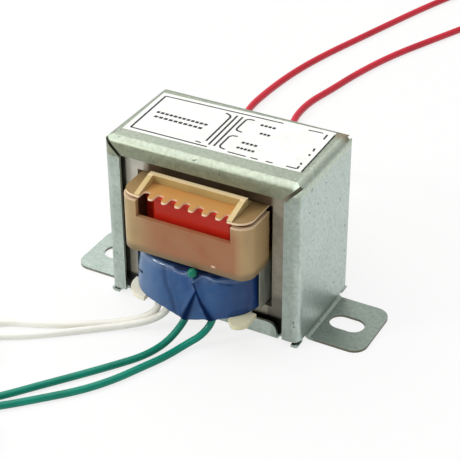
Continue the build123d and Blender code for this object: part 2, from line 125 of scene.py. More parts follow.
def zoned(tree, where, colour, cloud, zones):
    """Colour with others laid over it, each between limits (low, high, soft) along some of the axes.

    The cover of a zone is 1 inside its limits, falls off over their soft edges, and loses up to a
    quarter where the cloud is low."""
    axes = add(tree, "SeparateXYZ", {"Vector": where})
    patchy = add(tree, "MapRange", {"Value": cloud, "From Min": 0.3, "From Max": 0.7,
                                    "To Min": 0.75, "To Max": 1.0}).outputs[0]
    for code, limits in zones:
        cover = patchy
        for axis, (low, high, soft) in limits.items():
            part = span(tree, axes.outputs[axis], low, high, soft)
            cover = add(tree, "Math", {0: cover, 1: part}, operation="MULTIPLY").outputs[0]
        colour = blend(tree, cover, colour, linear(code))
    return colour


# Zinc plate on cold-rolled sheet: a dull mirror that clouds over a few millimetres, with fine
# rolling marks and a few small dark specks. The zones give where its passivation is yellower and where cut
# edges are darker, and they hold painted reflection where it is brighter and painted shade where it is
# duller.
def zinc_plated_steel(light, dark, zones):
    made, tree, shader, where = finish("zinc_plated_steel")
    cloud = add(tree, "TexNoise", {"Vector": where, "Scale": per_mm(9.0), "Detail": 5.0, "Roughness": 0.55})
    grain = add(tree, "TexNoise", {"Vector": where, "Scale": per_mm(0.6), "Detail": 3.0})
    speck = add(tree, "TexNoise", {"Vector": where, "Scale": per_mm(0.8), "Detail": 1.0})
    plate = blend(tree, cloud.outputs["Fac"], linear(dark), linear(light), 0.35, 0.65)
    plate = zoned(tree, where, plate, cloud.outputs["Fac"], zones)
    dusk = add(tree, "MapRange", {"Value": grain.outputs["Fac"], "From Min": 0.35, "From Max": 0.75})
    plate = add(tree, "Mix", {0: dusk.outputs[0], 6: plate, 7: opaque(linear("E2E4E1"))},
                data_type="RGBA", blend_type="MULTIPLY").outputs[2]
    plate = blend(tree, speck.outputs["Fac"], plate, linear("69726A"), 0.71, 0.78)
    tree.links.new(plate, shader.inputs["Base Color"])
    rough = add(tree, "MapRange", {"Value": cloud.outputs["Fac"], "To Min": 0.34, "To Max": 0.46})
    tree.links.new(rough.outputs[0], shader.inputs["Roughness"])
    bump = add(tree, "Bump", {"Strength": 0.3, "Distance": 0.03 * MM, "Height": grain.outputs["Fac"]})
    tree.links.new(bump.outputs[0], shader.inputs["Normal"])
    shader.inputs["Metallic"].default_value = 0.95
    return made


# Silicon-steel laminations under brown varnish: flat, stained, with a faint sheet edge every
# half millimetre through the stack. Painted shade makes it brown over the bobbin under the top lip, duller
# at the lower right, and nearly black beside the left lip and over the base plate; painted light makes it
# paler at the upper left.
def varnished_laminations():
    made, tree, shader, where = finish("varnished_laminations")
    stain = add(tree, "TexNoise", {"Vector": where, "Scale": per_mm(5.0), "Detail": 5.0, "Roughness": 0.65})
    sheets = add(tree, "TexWave", {"Vector": where, "Scale": bands_per_mm(0.5), "Distortion": 0.3},
                 wave_type="BANDS", bands_direction="Y")
    varnish = blend(tree, stain.outputs["Fac"], linear("8C8576"), linear("B9B3A3"), 0.3, 0.7)
    # Painted shade over the bobbin under the top lip, at the lower right and beside the left lip, and
    # painted light at the upper left.
    painted_shade_over_bobbin = ("4A3210", {"X": (-10.0, 12.0, 1.0), "Z": (25.0, 40.0, 0.5)})
    front = (-9.0, -8.0, 0.5)
    painted_light_upper_left = ("D0CEC4", {"X": (-15.0, -11.5, 0.5), "Y": front, "Z": (23.0, 28.0, 2.0)})
    painted_shade_lower_right = ("6C695E", {"X": (12.0, 16.0, 0.5), "Y": front, "Z": (4.5, 7.5, 2.0)})
    painted_shadow_beside_lip = ("14110C", {"X": (-18.0, -14.9, 0.25), "Y": front})
    varnish = zoned(tree, where, varnish, stain.outputs["Fac"], (painted_shade_over_bobbin, painted_light_upper_left, painted_shade_lower_right, painted_shadow_beside_lip))
    height = add(tree, "SeparateXYZ", {"Vector": where}).outputs["Z"]
    # Painted shade: nearly black low down, in the gap between the base plate's lip and the stack.
    painted_shade_over_plate = (4.0 * MM, 4.5 * MM)
    varnish = blend(tree, height, linear("12100C"), varnish, *painted_shade_over_plate)
    tree.links.new(varnish, shader.inputs["Base Color"])
    bump = add(tree, "Bump", {"Strength": 0.3, "Distance": 0.05 * MM, "Height": sheets.outputs["Fac"]})
    tree.links.new(bump.outputs[0], shader.inputs["Normal"])
    shader.inputs["Metallic"].default_value = 0.35
    shader.inputs["Roughness"].default_value = 0.45
    return made


# Natural nylon, moulded: creamy, slightly waxy and a little cloudy. In its zones thin walls take on the
# colour of what lies behind them, some parts are browner with painted shade, and some edges are paler with
# painted highlights.
def natural_nylon(name, cream, zones=()):
    made, tree, shader, where = finish(name)
    cloud = add(tree, "TexNoise", {"Vector": where, "Scale": per_mm(4.0), "Detail": 4.0}).outputs["Fac"]
    skin = add(tree, "TexNoise", {"Vector": where, "Scale": per_mm(0.35), "Detail": 2.0})
    deep = [c * 0.86 for c in linear(cream)]
    colour = blend(tree, cloud, deep, linear(cream), 0.35, 0.6)
    colour = zoned(tree, where, colour, cloud, zones)
    tree.links.new(colour, shader.inputs["Base Color"])
    bump = add(tree, "Bump", {"Strength": 0.15, "Distance": 0.03 * MM, "Height": skin.outputs["Fac"]})
    tree.links.new(bump.outputs[0], shader.inputs["Normal"])
    shader.inputs["Roughness"].default_value = 0.45
    shader.inputs["Specular IOR Level"].default_value = 0.35
    shader.inputs["Subsurface Weight"].default_value = 0.15
    shader.inputs["Subsurface Radius"].default_value = (1.0, 0.6, 0.3)
    shader.inputs["Subsurface Scale"].default_value = 0.5 * MM
    return made


# Polyester winding tape: thin glossy film that shows soft creases. Its zones are deeper in colour, where
# other pieces shade it.
def polyester_tape(name, light, dark, crease, zones=()):
    made, tree, shader, where = finish(name)
    cloud = add(tree, "TexNoise", {"Vector": where, "Scale": per_mm(6.0), "Detail": 3.0})
    folds = add(tree, "TexNoise", {"Vector": where, "Scale": per_mm(2.2), "Detail": 3.0, "Distortion": 0.6})
    film = blend(tree, cloud.outputs["Fac"], linear(dark), linear(light), 0.35, 0.65)
    film = zoned(tree, where, film, cloud.outputs["Fac"], zones)
    tree.links.new(film, shader.inputs["Base Color"])
    bump = add(tree, "Bump", {"Strength": crease, "Distance": 0.15 * MM, "Height": folds.outputs["Fac"]})
    tree.links.new(bump.outputs[0], shader.inputs["Normal"])
    shader.inputs["Roughness"].default_value = 0.22
    shader.inputs["Specular IOR Level"].default_value = 0.25
    return made


# Blue polyester tape over the secondary: a painted sheen at the left and painted shade round the right end,
# with the leads below it showing as dark dull bands of painted shade, which the tape_shade attribute holds
# with the other painted shade, and glossier where it is stretched over the upper edge.
def blue_polyester_tape(light, dark, painted_sheen, end, band):
    made = polyester_tape("blue_polyester_tape", light, dark, 0.2)
    tree = made.node_tree
    shader = tree.nodes["Principled BSDF"]
    film = shader.inputs["Base Color"].links[0].from_socket
    where = add(tree, "TexCoord").outputs["Object"]
    axes = add(tree, "SeparateXYZ", {"Vector": where})
    side = axes.outputs["X"]
    # Spans of the painted sheen at the left, the painted shade round the right end and the glossier upper
    # edge.
    painted_sheen_span = (-9.0 * MM, 1.0 * MM)
    painted_shade_right_span = (6.0 * MM, 9.5 * MM)
    painted_shade_end_span = (9.9 * MM, 10.3 * MM)
    upper_edge = (12.7 * MM, 13.1 * MM)
    film = blend(tree, side, linear(painted_sheen), film, *painted_sheen_span)
    # Painted shade round the right end.
    film = blend(tree, side, film, linear(dark), *painted_shade_right_span)
    film = blend(tree, side, film, linear(end), *painted_shade_end_span)
    # Painted shade over the leads, along the fold, slit and creases and on the inside, held in the
    # attribute.
    over = add(tree, "Attribute", attribute_name="tape_shade").outputs["Fac"]
    tree.links.new(blend(tree, over, film, linear(band)), shader.inputs["Base Color"])
    gloss = add(tree, "MapRange", {"Value": axes.outputs["Z"], "From Min": upper_edge[0],
                                   "From Max": upper_edge[1], "To Min": 0.25, "To Max": 0.9})
    cover = add(tree, "MapRange", {"Value": over, "To Min": 1.0, "To Max": 0.1})
    gloss = add(tree, "Math", {0: gloss.outputs[0], 1: cover.outputs[0]}, operation="MULTIPLY")
    tree.links.new(gloss.outputs[0], shader.inputs["Specular IOR Level"])
    return made


# PVC insulation, extruded: smooth, satin, a little uneven in colour along the lead.
def pvc_insulation(name, light, dark, roughness=0.22):
    made, tree, shader, where = finish(name)
    cloud = add(tree, "TexNoise", {"Vector": where, "Scale": per_mm(9.0), "Detail": 3.0})
    skin = add(tree, "TexNoise", {"Vector": where, "Scale": per_mm(0.4), "Detail": 2.0})
    colour = blend(tree, cloud.outputs["Fac"], linear(dark), linear(light), 0.3, 0.7)
    tree.links.new(colour, shader.inputs["Base Color"])
    bump = add(tree, "Bump", {"Strength": 0.15, "Distance": 0.02 * MM, "Height": skin.outputs["Fac"]})
    tree.links.new(bump.outputs[0], shader.inputs["Normal"])
    shader.inputs["Roughness"].default_value = roughness
    shader.inputs["Specular IOR Level"].default_value = 0.3
    return made


# Tinned copper strands: bright, with the strands' lay as fine ribs.
def tinned_strands():
    made, tree, shader, where = finish("tinned_strands")
    lay = add(tree, "TexWave", {"Vector": where, "Scale": bands_per_mm(0.25), "Distortion": 1.0},
              wave_type="BANDS", bands_direction="DIAGONAL")
    tin = blend(tree, lay.outputs["Fac"], linear("8F9090"), linear("D2D2CE"))
    tree.links.new(tin, shader.inputs["Base Color"])
    bump = add(tree, "Bump", {"Strength": 0.5, "Distance": 0.05 * MM, "Height": lay.outputs["Fac"]})
    tree.links.new(bump.outputs[0], shader.inputs["Normal"])
    shader.inputs["Metallic"].default_value = 1.0
    shader.inputs["Roughness"].default_value = 0.3
    return made


# Enamelled copper wire, wound: brown-gold, ribbed by its turns, drawn coarser than the real wire.
def enamelled_copper():
    made, tree, shader, where = finish("enamelled_copper")
    turns = add(tree, "TexWave", {"Vector": where, "Scale": bands_per_mm(0.4), "Distortion": 0.4},
                wave_type="BANDS", bands_direction="Z")
    wire = blend(tree, turns.outputs["Fac"], linear("5A2A12"), linear("B4622C"))
    tree.links.new(wire, shader.inputs["Base Color"])
    bump = add(tree, "Bump", {"Strength": 0.6, "Distance": 0.15 * MM, "Height": turns.outputs["Fac"]})
    tree.links.new(bump.outputs[0], shader.inputs["Normal"])
    shader.inputs["Metallic"].default_value = 0.6
    shader.inputs["Roughness"].default_value = 0.35
    return made


# Insulating film of the liners: grey, satin, faintly streaked along its height.
def insulating_film():
    made, tree, shader, where = finish("insulating_film")
    along = add(tree, "Mapping", {"Vector": where, "Scale": (1.0, 1.0, 0.15)}).outputs[0]
    streak = add(tree, "TexNoise", {"Vector": along, "Scale": per_mm(1.2), "Detail": 3.0})
    film = blend(tree, streak.outputs["Fac"], linear("6F7266"), linear("A2A496"), 0.3, 0.7)
    tree.links.new(film, shader.inputs["Base Color"])
    shader.inputs["Roughness"].default_value = 0.35
    return made


# Uncoated paper: matt, faintly fibrous.
def uncoated_paper():
    made, tree, shader, where = finish("uncoated_paper")
    cloud = add(tree, "TexNoise", {"Vector": where, "Scale": per_mm(3.0), "Detail": 5.0, "Roughness": 0.7})
    fibre = add(tree, "TexNoise", {"Vector": where, "Scale": per_mm(0.3), "Detail": 3.0})
    sheet = blend(tree, cloud.outputs["Fac"], linear("EFEFEA"), linear("FBFBF8"), 0.3, 0.6)
    tree.links.new(sheet, shader.inputs["Base Color"])
    bump = add(tree, "Bump", {"Strength": 0.2, "Distance": 0.02 * MM, "Height": fibre.outputs["Fac"]})
    tree.links.new(bump.outputs[0], shader.inputs["Normal"])
    shader.inputs["Roughness"].default_value = 0.75
    return made


# Black printing ink, thinly laid: broken up by the paper's tooth.
def printing_ink():
    made, tree, shader, where = finish("printing_ink")
    tooth = add(tree, "TexNoise", {"Vector": where, "Scale": per_mm(0.35), "Detail": 3.0})
    ink = blend(tree, tooth.outputs["Fac"], linear("161618"), linear("5C5C60"), 0.5, 0.8)
    tree.links.new(ink, shader.inputs["Base Color"])
    shader.inputs["Roughness"].default_value = 0.6
    return made


def give(material, *nodes):
    """Put a finish on CAD nodes."""
    for name in nodes:
        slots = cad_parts[name].data.materials
        slots.clear()
        slots.append(material)


def placed(name, data):
    """Put a new mesh, curve, lamp or camera into the scene, at the origin."""
    made = bpy.data.objects.new(name, data)
    bpy.context.collection.objects.link(made)
    return made


def grid_mesh(name, points, material, attribute, values):
    """Closed surface from a grid of points (rows, columns, 3) that joins up both ways.

    Each face takes a point, its neighbour along the row and the two below them. The attribute keeps one
    value for each point."""
    rows, columns = points.shape[:2]
    index = np.arange(rows * columns).reshape(rows, columns)
    right = np.roll(index, -1, axis=1)
    below = np.roll(index, -1, axis=0)
    corner = np.roll(below, -1, axis=1)
    faces = np.stack([index, below, corner, right], axis=-1).reshape(-1, 4)
    mesh = bpy.data.meshes.new(name)
    mesh.from_pydata(points.reshape(-1, 3).tolist(), [], faces.tolist())
    mesh.materials.append(material)
    mesh.shade_smooth()
    layer = mesh.attributes.new(attribute, "FLOAT", "POINT")
    layer.data.foreach_set("value", np.ascontiguousarray(values, dtype=np.float32).ravel())
    return placed(name, mesh)


def bar_mesh(name, bars, low, high, material):
    """Flat bars as one mesh: each runs from (x0, y0) to (x1, y1) with a width, between two heights.

    A bar's corners are its ends moved half a width to each side. The bars are in millimetres and the two
    heights in metres."""
    bars = np.asarray(bars) * MM
    start, end, half = bars[:, 0:2], bars[:, 2:4], bars[:, 4:5] / 2
    along = end - start
    along /= np.linalg.norm(along, axis=1, keepdims=True)
    aside = np.stack([-along[:, 1], along[:, 0]], axis=1) * half
    plan = np.stack([start - aside, end - aside, end + aside, start + aside], axis=1)
    lower = np.concatenate([plan, np.full(plan.shape[:2] + (1,), low)], axis=2)
    upper = np.concatenate([plan, np.full(plan.shape[:2] + (1,), high)], axis=2)
    points = np.concatenate([lower, upper], axis=1).reshape(-1, 3)
    box = np.array([[3, 2, 1, 0], [4, 5, 6, 7], [0, 1, 5, 4], [1, 2, 6, 5], [2, 3, 7, 6], [3, 0, 4, 7]])
    faces = (np.arange(len(bars))[:, None, None] * 8 + box).reshape(-1, 4)
    mesh = bpy.data.meshes.new(name)
    mesh.from_pydata(points.tolist(), [], faces.tolist())
    mesh.materials.append(material)
    return placed(name, mesh)


def cord_piece(name, points, diameter, material):
    """Round cord along one smooth NURBS spline.

    Its control points are in millimetres and its diameter in metres."""
    curve = bpy.data.curves.new(name, "CURVE")
    curve.dimensions = "3D"
    curve.bevel_depth = diameter / 2
    curve.bevel_resolution = 6
    curve.use_fill_caps = True
    curve.resolution_u = 10
    spline = curve.splines.new("NURBS")
    spline.points.add(len(points) - 1)
    where = np.column_stack([np.asarray(points) * MM, np.ones(len(points))])
    spline.points.foreach_set("co", where.ravel())
    spline.order_u = 3
    spline.use_endpoint_u = True
    curve.materials.append(material)
    return placed(name, curve)


# Routes of the leads in millimetres, from the winding or the tray to the coil or the free end. Three
# heights recur: the middle of a thin and of a red lead on the floor, and of a red lead in the rear tray.
FLOOR = 0.63
RED_FLOOR = 0.76
TRAY = 26.15
ROUTES = {
    "red_lead_a": [
        (-4.9, 10.9, TRAY), (-4.9, 15.8, TRAY), (-5.9, 21.0, 22.4), (-8.2, 26.6, 15.2),
        (-12.0, 32.8, 7.4), (-17.6, 40.6, 2.2), (-24.4, 49.4, RED_FLOOR), (-27.8, 58.7, RED_FLOOR),
        (-27.8, 68.8, RED_FLOOR), (-26.8, 79.6, RED_FLOOR), (-24.5, 90.7, RED_FLOOR),
        (-20.4, 104.6, RED_FLOOR), (-15.8, 120.4, RED_FLOOR), (-11.4, 133.8, RED_FLOOR),
        (-7.6, 143.2, RED_FLOOR),
    ],
    "red_lead_b": [
        (2.4, 10.9, TRAY), (2.4, 15.8, TRAY), (1.5, 21.0, 22.4), (-0.9, 26.6, 15.2),
        (-4.2, 32.6, 7.4), (-8.3, 40.4, 2.2), (-12.8, 49.2, RED_FLOOR), (-16.9, 58.3, RED_FLOOR),
        (-17.7, 67.4, RED_FLOOR), (-15.7, 76.3, RED_FLOOR), (-14.1, 85.3, RED_FLOOR),
        (-10.6, 97.9, RED_FLOOR), (-4.6, 112.0, RED_FLOOR), (0.4, 123.6, RED_FLOOR),
        (4.6, 132.0, RED_FLOOR), (8.9, 142.6, RED_FLOOR),
    ],
    "green_lead_a": [
        (0.2, -14.6, 6.95), (0.2, -14.6, 4.6), (-0.6, -16.2, 2.2), (-1.5, -19.6, 0.8),
        (-3.0, -23.9, FLOOR), (-6.1, -28.3, FLOOR), (-9.8, -33.2, FLOOR), (-14.0, -38.5, FLOOR),
        (-18.2, -44.0, FLOOR),
    ],
    "green_lead_b": [
        (4.9, -14.4, 6.95), (4.9, -14.4, 4.6), (3.7, -16.2, 2.2), (1.7, -18.2, 0.9),
        (0.2, -22.4, FLOOR), (-1.9, -26.8, FLOOR), (-4.1, -31.5, FLOOR), (-7.3, -36.2, FLOOR),
        (-11.7, -40.7, FLOOR), (-16.4, -45.4, FLOOR),
    ],
    "white_lead_a": [
        (-5.5, -14.4, 6.95), (-5.5, -14.4, 4.9), (-6.0, -15.0, 2.8), (-8.5, -16.3, 1.3),
        (-12.2, -18.5, 0.7), (-17.3, -21.9, FLOOR), (-23.3, -24.9, FLOOR), (-29.1, -27.1, FLOOR),
    ],
    "white_lead_b": [
        (-3.3, -14.6, 6.95), (-3.3, -14.6, 5.5), (-4.0, -15.2, 3.4), (-6.4, -16.6, 1.8),
        (-10.1, -18.7, 0.9), (-15.1, -22.3, FLOOR), (-20.4, -26.5, FLOOR), (-26.2, -30.4, FLOOR),
    ],
}
# Coils of two leads each, in millimetres and degrees: radius to the middle of the two turns, height of the
# lower layer, distance between turns, straight run before the coil, the way round it and the points on
# that, and the angles between which a lead steps up by one layer.
COIL_RADIUS = 6.8
COIL_LOW = 1.025
LAYER = 1.3
RUN_IN = 5.2
COIL_TURN = 662.0
COIL_POINTS = 30
CLIMB_START = 250.0
CLIMB_END = 310.0
# Centre of each coil and the degrees at which its leads meet it.
COILS = {"green": ((-21.4, -58.4), 139.5), "white": ((-33.6, -41.0), 121.5)}


def coil_points(centre, entry, offset):
    """Control points of a lead's run into its coil and round it, in millimetres.

    A straight run meets the circle along its tangent. The angle then goes on for COIL_TURN degrees, and
    the height steps up by one layer along a smooth S between the two angles of the climb."""
    a = radians(entry)
    radius = COIL_RADIUS + offset
    before = (
        centre[0] + radius * cos(a) + RUN_IN * sin(a), centre[1] + radius * sin(a) - RUN_IN * cos(a),
        (FLOOR + COIL_LOW) / 2)
    turn = np.linspace(0.0, COIL_TURN, COIL_POINTS)
    step = np.clip((turn - CLIMB_START) / (CLIMB_END - CLIMB_START), 0.0, 1.0)
    height = COIL_LOW + LAYER * step * step * (3.0 - 2.0 * step)
    angle = np.radians(entry + turn)
    x = centre[0] + radius * np.cos(angle)
    y = centre[1] + radius * np.sin(angle)
    return [before] + np.column_stack([x, y, height]).tolist()


class LeadSettings(bpy.types.PropertyGroup):
    """Sizes of the leads."""
    primary: FloatProperty(
        name="Primary lead", description="Outside diameter of the red leads",
        default=1.5 * MM, unit="LENGTH")
    secondary: FloatProperty(
        name="Secondary lead", description="Outside diameter of the green and white leads",
        default=1.25 * MM, unit="LENGTH")


class TapeSettings(bpy.types.PropertyGroup):
    """Form of the secondary's tape."""
    flare: FloatProperty(
        name="Flare", description="How far the lower front edge stands out",
        default=1.5 * MM, unit="LENGTH")
    bulge: FloatProperty(
        name="Lead bulge", description="Height of the bulges over the leads",
        default=0.5 * MM, unit="LENGTH")
    crinkle: FloatProperty(
        name="Crinkle", description="Depth of the tape's creases",
        default=0.08 * MM, unit="LENGTH")


class StageSettings(bpy.types.PropertyGroup):
    """Camera and floor."""
    lens: FloatProperty(name="Lens", description="Focal length of the camera in millimetres", default=110.6)
    floor: FloatVectorProperty(
        name="Floor", description="Colour of the floor", default=linear("F6F6F4"), subtype="COLOR", size=3)


def frame_steel():
    """Plated steel of the frame and the base plate."""
    lip_face = (-12.0, -9.75, 0.35)
    cut_edge = (-1.0, 0.4, 0.06)
    yellowed = ("B2BAA8", {"Z": (31.5, 40.0, 6.5)})
    # Painted shade on the front faces of the lips, and on the top lip a painted reflection of the bobbin's
    # tray.
    painted_reflection_top_lip = ("8C907A", {"Y": lip_face, "Z": (28.0, 30.2, 0.6)})
    painted_shade_right_lip = ("A3AEA7", {"X": (13.5, 16.8, 0.8), "Y": lip_face, "Z": (1.0, 27.9, 0.3)})
    painted_shade_right_mitre = ("A3AEA7", {"X": (16.4, 17.4, 0.5), "Y": lip_face, "Z": (27.0, 28.9, 0.5)})
    # Painted reflection: the right wall and its bend are lighter.
    painted_reflection_right_wall = ("CAD7D2", {"X": (17.95, 18.3, 0.4), "Z": (2.0, 40.0, 1.0)})
    painted_reflection_right_bend = ("CAD6C6", {"X": (16.8, 18.3, 0.5), "Z": (29.4, 32.0, 0.5)})
    # Painted shadow of the body on the right foot.
    painted_shadow_right_foot = ("949F96", {"X": (18.9, 40.0, 0.6)})
    right_edge = ("6E6A5C", {"X": (19.4, 40.0, 0.3), "Z": cut_edge})
    left_edge = ("7E7C70", {"X": (-40.0, -19.4, 0.3), "Z": cut_edge})
    rust = ("A0937A", {"X": (16.0, 18.5, 2.5), "Y": (8.0, 12.0, 2.0), "Z": (30.7, 32.0, 0.3)})
    tones_and_painted_light = (
        yellowed, painted_reflection_top_lip, painted_shade_right_lip, painted_shade_right_mitre, painted_reflection_right_wall, painted_reflection_right_bend, painted_shadow_right_foot, right_edge,
        left_edge, rust)
    return zinc_plated_steel("BCC8C1", "A5B2AA", tones_and_painted_light)


def bobbin_nylon():
    """Nylon of the bobbin, with its tray, wings, arms and lobes."""
    flange_top = (25.34, 25.4, 0.02)
    arm_top = (25.45, 27.5, 0.05)
    lobe_height = (6.0, 7.2, 1.0)
    # Orange on the thin floor of the tray, and darker with painted shade under the top lip.
    tray_floor_tint_and_shade = ("C48A48", {"X": (-7.8, 7.8, 0.6), "Z": flange_top})
    # Painted shade of the top lip on the flange's wings.
    painted_shade_left_wing = ("94764C", {"X": (-12.0, -8.9, 0.3), "Z": flange_top})
    painted_shade_right_wing = ("8E7048", {"X": (8.9, 12.0, 0.3), "Z": flange_top})
    # Painted highlight along the flange's rim.
    painted_highlight_rim = ("FFE2C0", {"Z": (24.97, 25.31, 0.02)})
    left_arm = ("D6BC84", {"X": (-8.9, -8.0, 0.1), "Z": arm_top})
    right_arm = ("DCC48E", {"X": (8.0, 8.9, 0.1), "Z": arm_top})
    # Painted highlight on the tops of the tray's walls.
    painted_highlight_tray_edge = ("F6DEB0", {"Z": (26.8, 27.5, 0.1)})
    lobes = ("FAF6E4", {"Z": lobe_height})
    right_lobe = ("DEDAB8", {"X": (5.0, 12.0, 1.0), "Y": (-20.0, -8.0, 1.0), "Z": lobe_height})
    zones = (tray_floor_tint_and_shade, painted_shade_left_wing, painted_shade_right_wing, painted_highlight_rim, left_arm, right_arm, painted_highlight_tray_edge, lobes, right_lobe)
    return natural_nylon("bobbin_nylon", "C4AA6E", zones)


def shroud_nylon():
    """Nylon of the front shroud, which the red tape shows through."""
    blush = ("A06544", {"X": (-4.0, 8.5, 7.0), "Z": (16.0, 22.0, 3.5)})
    corner = ("C2A474", {"X": (11.0, 12.0, 2.0)})
    # Painted shade along the lower edge of the shroud.
    painted_shade_low_edge = ("7E6C50", {"Z": (14.0, 14.9, 1.5)})
    # Painted highlight along the top edge of the shroud.
    edge = ("E4C8A8", {"Z": (24.2, 24.6, 0.1)})
    chip = ("F0DCC0", {"X": (5.4, 5.6, 0.45), "Z": (15.95, 16.0, 0.25)})
    return natural_nylon("shroud_nylon", "B69C70", (blush, corner, painted_shade_low_edge, edge, chip))


def primary_film():
    """Red tape of the primary, with painted shade under the comb and at its right side."""
    painted_shade_under_comb = ("B42210", {"Z": (23.0, 30.0, 3.0)})
    painted_shade_right_side = ("1E0A06", {"X": (9.8, 13.0, 0.6)})
    return polyester_tape("red_polyester_tape", "E0301E", "CC2418", 0.08, (painted_shade_under_comb, painted_shade_right_side))


class TRANSFORMER_OT_finishes(bpy.types.Operator):
    """Put the real finishes on the pieces that keep their CAD shape"""
    bl_idname = "transformer.finishes"
    bl_label = "Finishes"

    def execute(self, context):
        give(frame_steel(), "frame", "base_plate")
        give(varnished_laminations(), "e_laminations", "i_laminations")
        give(bobbin_nylon(), "bobbin")
        give(shroud_nylon(), "front_shroud")
        give(natural_nylon("rear_shroud_nylon", "BCA276"), "rear_shroud")
        give(primary_film(), "primary_tape")
        give(polyester_tape("clear_polyester_tape", "D8C890", "B8A468", 0.12), "interlayer_tape")
        give(enamelled_copper(), "primary_winding", "inner_secondary", "outer_secondary")
        give(insulating_film(), "left_liner", "right_liner")
        give(tinned_strands(), "red_wire_ends", "green_wire_ends", "white_wire_ends")
        give(natural_nylon("tie_nylon", "D9D9D4"), "green_tie", "white_tie")
        give(uncoated_paper(), "label")
        return {"FINISHED"}


class TRANSFORMER_OT_leads(bpy.types.Operator):
    """Lay the six leads, four of them with their spare length in two tied coils"""
    bl_idname = "transformer.leads"
    bl_label = "Leads"

    def execute(self, context):
        settings = context.scene.transformer_leads
        finishes = {
            "red": pvc_insulation("red_pvc_insulation", "DA3243", "C42A3A"),
            "green": pvc_insulation("green_pvc_insulation", "02967E", "027F68"),
            "white": pvc_insulation("white_pvc_insulation", "FFFEF6", "F5F3EA"),
        }
        for name, route in ROUTES.items():
            colour = name.split("_")[0]
            outer = name.endswith("a")
            points = list(route)
            diameter = settings.primary if colour == "red" else settings.secondary
            if colour in COILS:
                points += coil_points(*COILS[colour], LAYER / 2 if outer else -LAYER / 2)
            title = colour + ("_lead_outer" if outer else "_lead_inner")
            lead = cord_piece(title, points, diameter, finishes[colour])
            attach(lead, "root")
            if outer and colour in COILS:
                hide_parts(name, colour + "_coil")
            else:
                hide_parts(name)
            ends = []
            if outer:
                ends = [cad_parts[colour + "_wire_ends"]]
                ends += [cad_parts[colour + "_tie"]] if colour in COILS else []
        return {"FINISHED"}


# Form of the secondary's tape in millimetres: its plan, its upper and lower edge, the waver of the upper
# one, its wall, and the rings of its closed top as inset and height.
TAPE_HALF = 11.0
TAPE_DEPTH = 15.9
TAPE_CORNER = 7.0
TAPE_CROWN = 1.6
TAPE_TOP = 13.8
TAPE_LOW = 6.98
TAPE_WAVER = 0.08
TAPE_WALL = 0.4
CAP_LOW = 13.62
CAP_RINGS = ((2.6, CAP_LOW), (2.6, 13.78), (1.4, 13.82))
# Points round the tape, down its outside and up its inside, and along each arc of its plan.
AROUND = 560
OUTSIDE = 90
INSIDE = 8
ARC_POINTS = 200
# Bells along the tape's front, as middle, width and height: dips of the upper edge, curls below it and the
# sag of the lower edge.
DIPS = ((2.4, 0.9, 0.55), (-0.4, 1.7, 0.5), (5.4, 1.7, 0.4))
CURLS = ((-0.6, 1.8, 1.0), (6.1, 1.2, 0.8))
SAG = ((1.0, 4.4, 1.5),)
# The shoulder under the upper edge: its place and width as shares of the way down, how far the edge goes in,
# and how far a curl deepens that and stands out below it, in millimetres.
SHOULDER = 0.03
SHOULDER_WIDTH = 0.018
EDGE_IN = 0.25
CURL_IN = 0.2
CURL_OUT = 0.22
# Bead over the upper end of the leads: middle and width along x and along z, and its rise.
BEAD_X = (2.3, 0.8)
BEAD_Z = (12.7, 1.0)
BEAD_RISE = 0.55
# Lines on the front of the tape, as (x, z) in millimetres: over the two leads below it, along a soft fold,
# along a short slit near the left end and along creases under the upper edge.
UNDER_TAPE = (
    [(2.5, 12.5), (2.9, 11.2), (2.5, 9.9), (1.9, 8.1), (1.2, 6.2), (0.9, 5.2)],
    [(2.9, 11.2), (3.3, 10.5), (4.0, 9.1), (4.8, 7.8), (5.6, 6.2)],
)
FOLD = [(-2.6, 13.4), (-2.4, 12.6), (-1.7, 10.6), (-0.6, 8.8), (0.3, 5.8)]
SLIT = [(-10.2, 9.3), (-9.2, 9.8), (-7.7, 10.4)]
CREASES = (
    [(4.3, 12.95), (5.3, 13.0)],
    [(5.9, 12.9), (6.9, 12.85), (8.3, 12.6)],
)
# Widths of these marks in millimetres: of the ridges over a lead and along the fold, of the slit and of a
# crease. The band of painted shade over a lead has its width at BAND_TOP and gains BAND_SPREAD for each
# millimetre down, as far as BAND_RUN. The stripe of painted shade beside the fold is a bell across it.
LEAD_RIDGE = 0.7
FOLD_RIDGE = 0.5
FOLD_RISE = 0.3
SLIT_WIDTH = 0.16
CREASE_WIDTH = 0.13
BAND_WIDTH = 0.14
BAND_TOP = 11.3
BAND_SPREAD = 0.085
BAND_RUN = 6.0
FOLD_SHADE = ((-0.9, 0.7, 0.45),)


def bell(value, middle, width):
    """Bell curve: 1 at the middle, falling with the square of the distance from it in widths."""
    return np.exp(-((value - middle) / width) ** 2)


def bells(x, shapes):
    """Sum of bell curves along x, each with its middle, width and height."""
    return sum(height * bell(x, middle, width) for middle, width, height in shapes)


def line_cover(gap, reach, width):
    """Cover by the distance from a line: it falls evenly to 0 at reach widths, and is at most 1."""
    return np.clip(reach - gap / width, 0.0, 1.0)


def flared(share, flare, front):
    """How far the tape stands out at a share of the way down: it grows towards the lower front edge."""
    return flare * (1.0 - (1.0 - share) ** 1.6) * front


def distance_to_line(x, z, line):
    """Distance of each point (x, z) from a line of straight runs: the least over its runs."""
    best = np.full(x.shape, np.inf)
    for (ax, az), (bx, bz) in zip(line, line[1:]):
        dx, dz = bx - ax, bz - az
        t = np.clip(((x - ax) * dx + (z - az) * dz) / (dx * dx + dz * dz), 0.0, 1.0)
        best = np.minimum(best, np.hypot(x - ax - t * dx, z - az - t * dz))
    return best


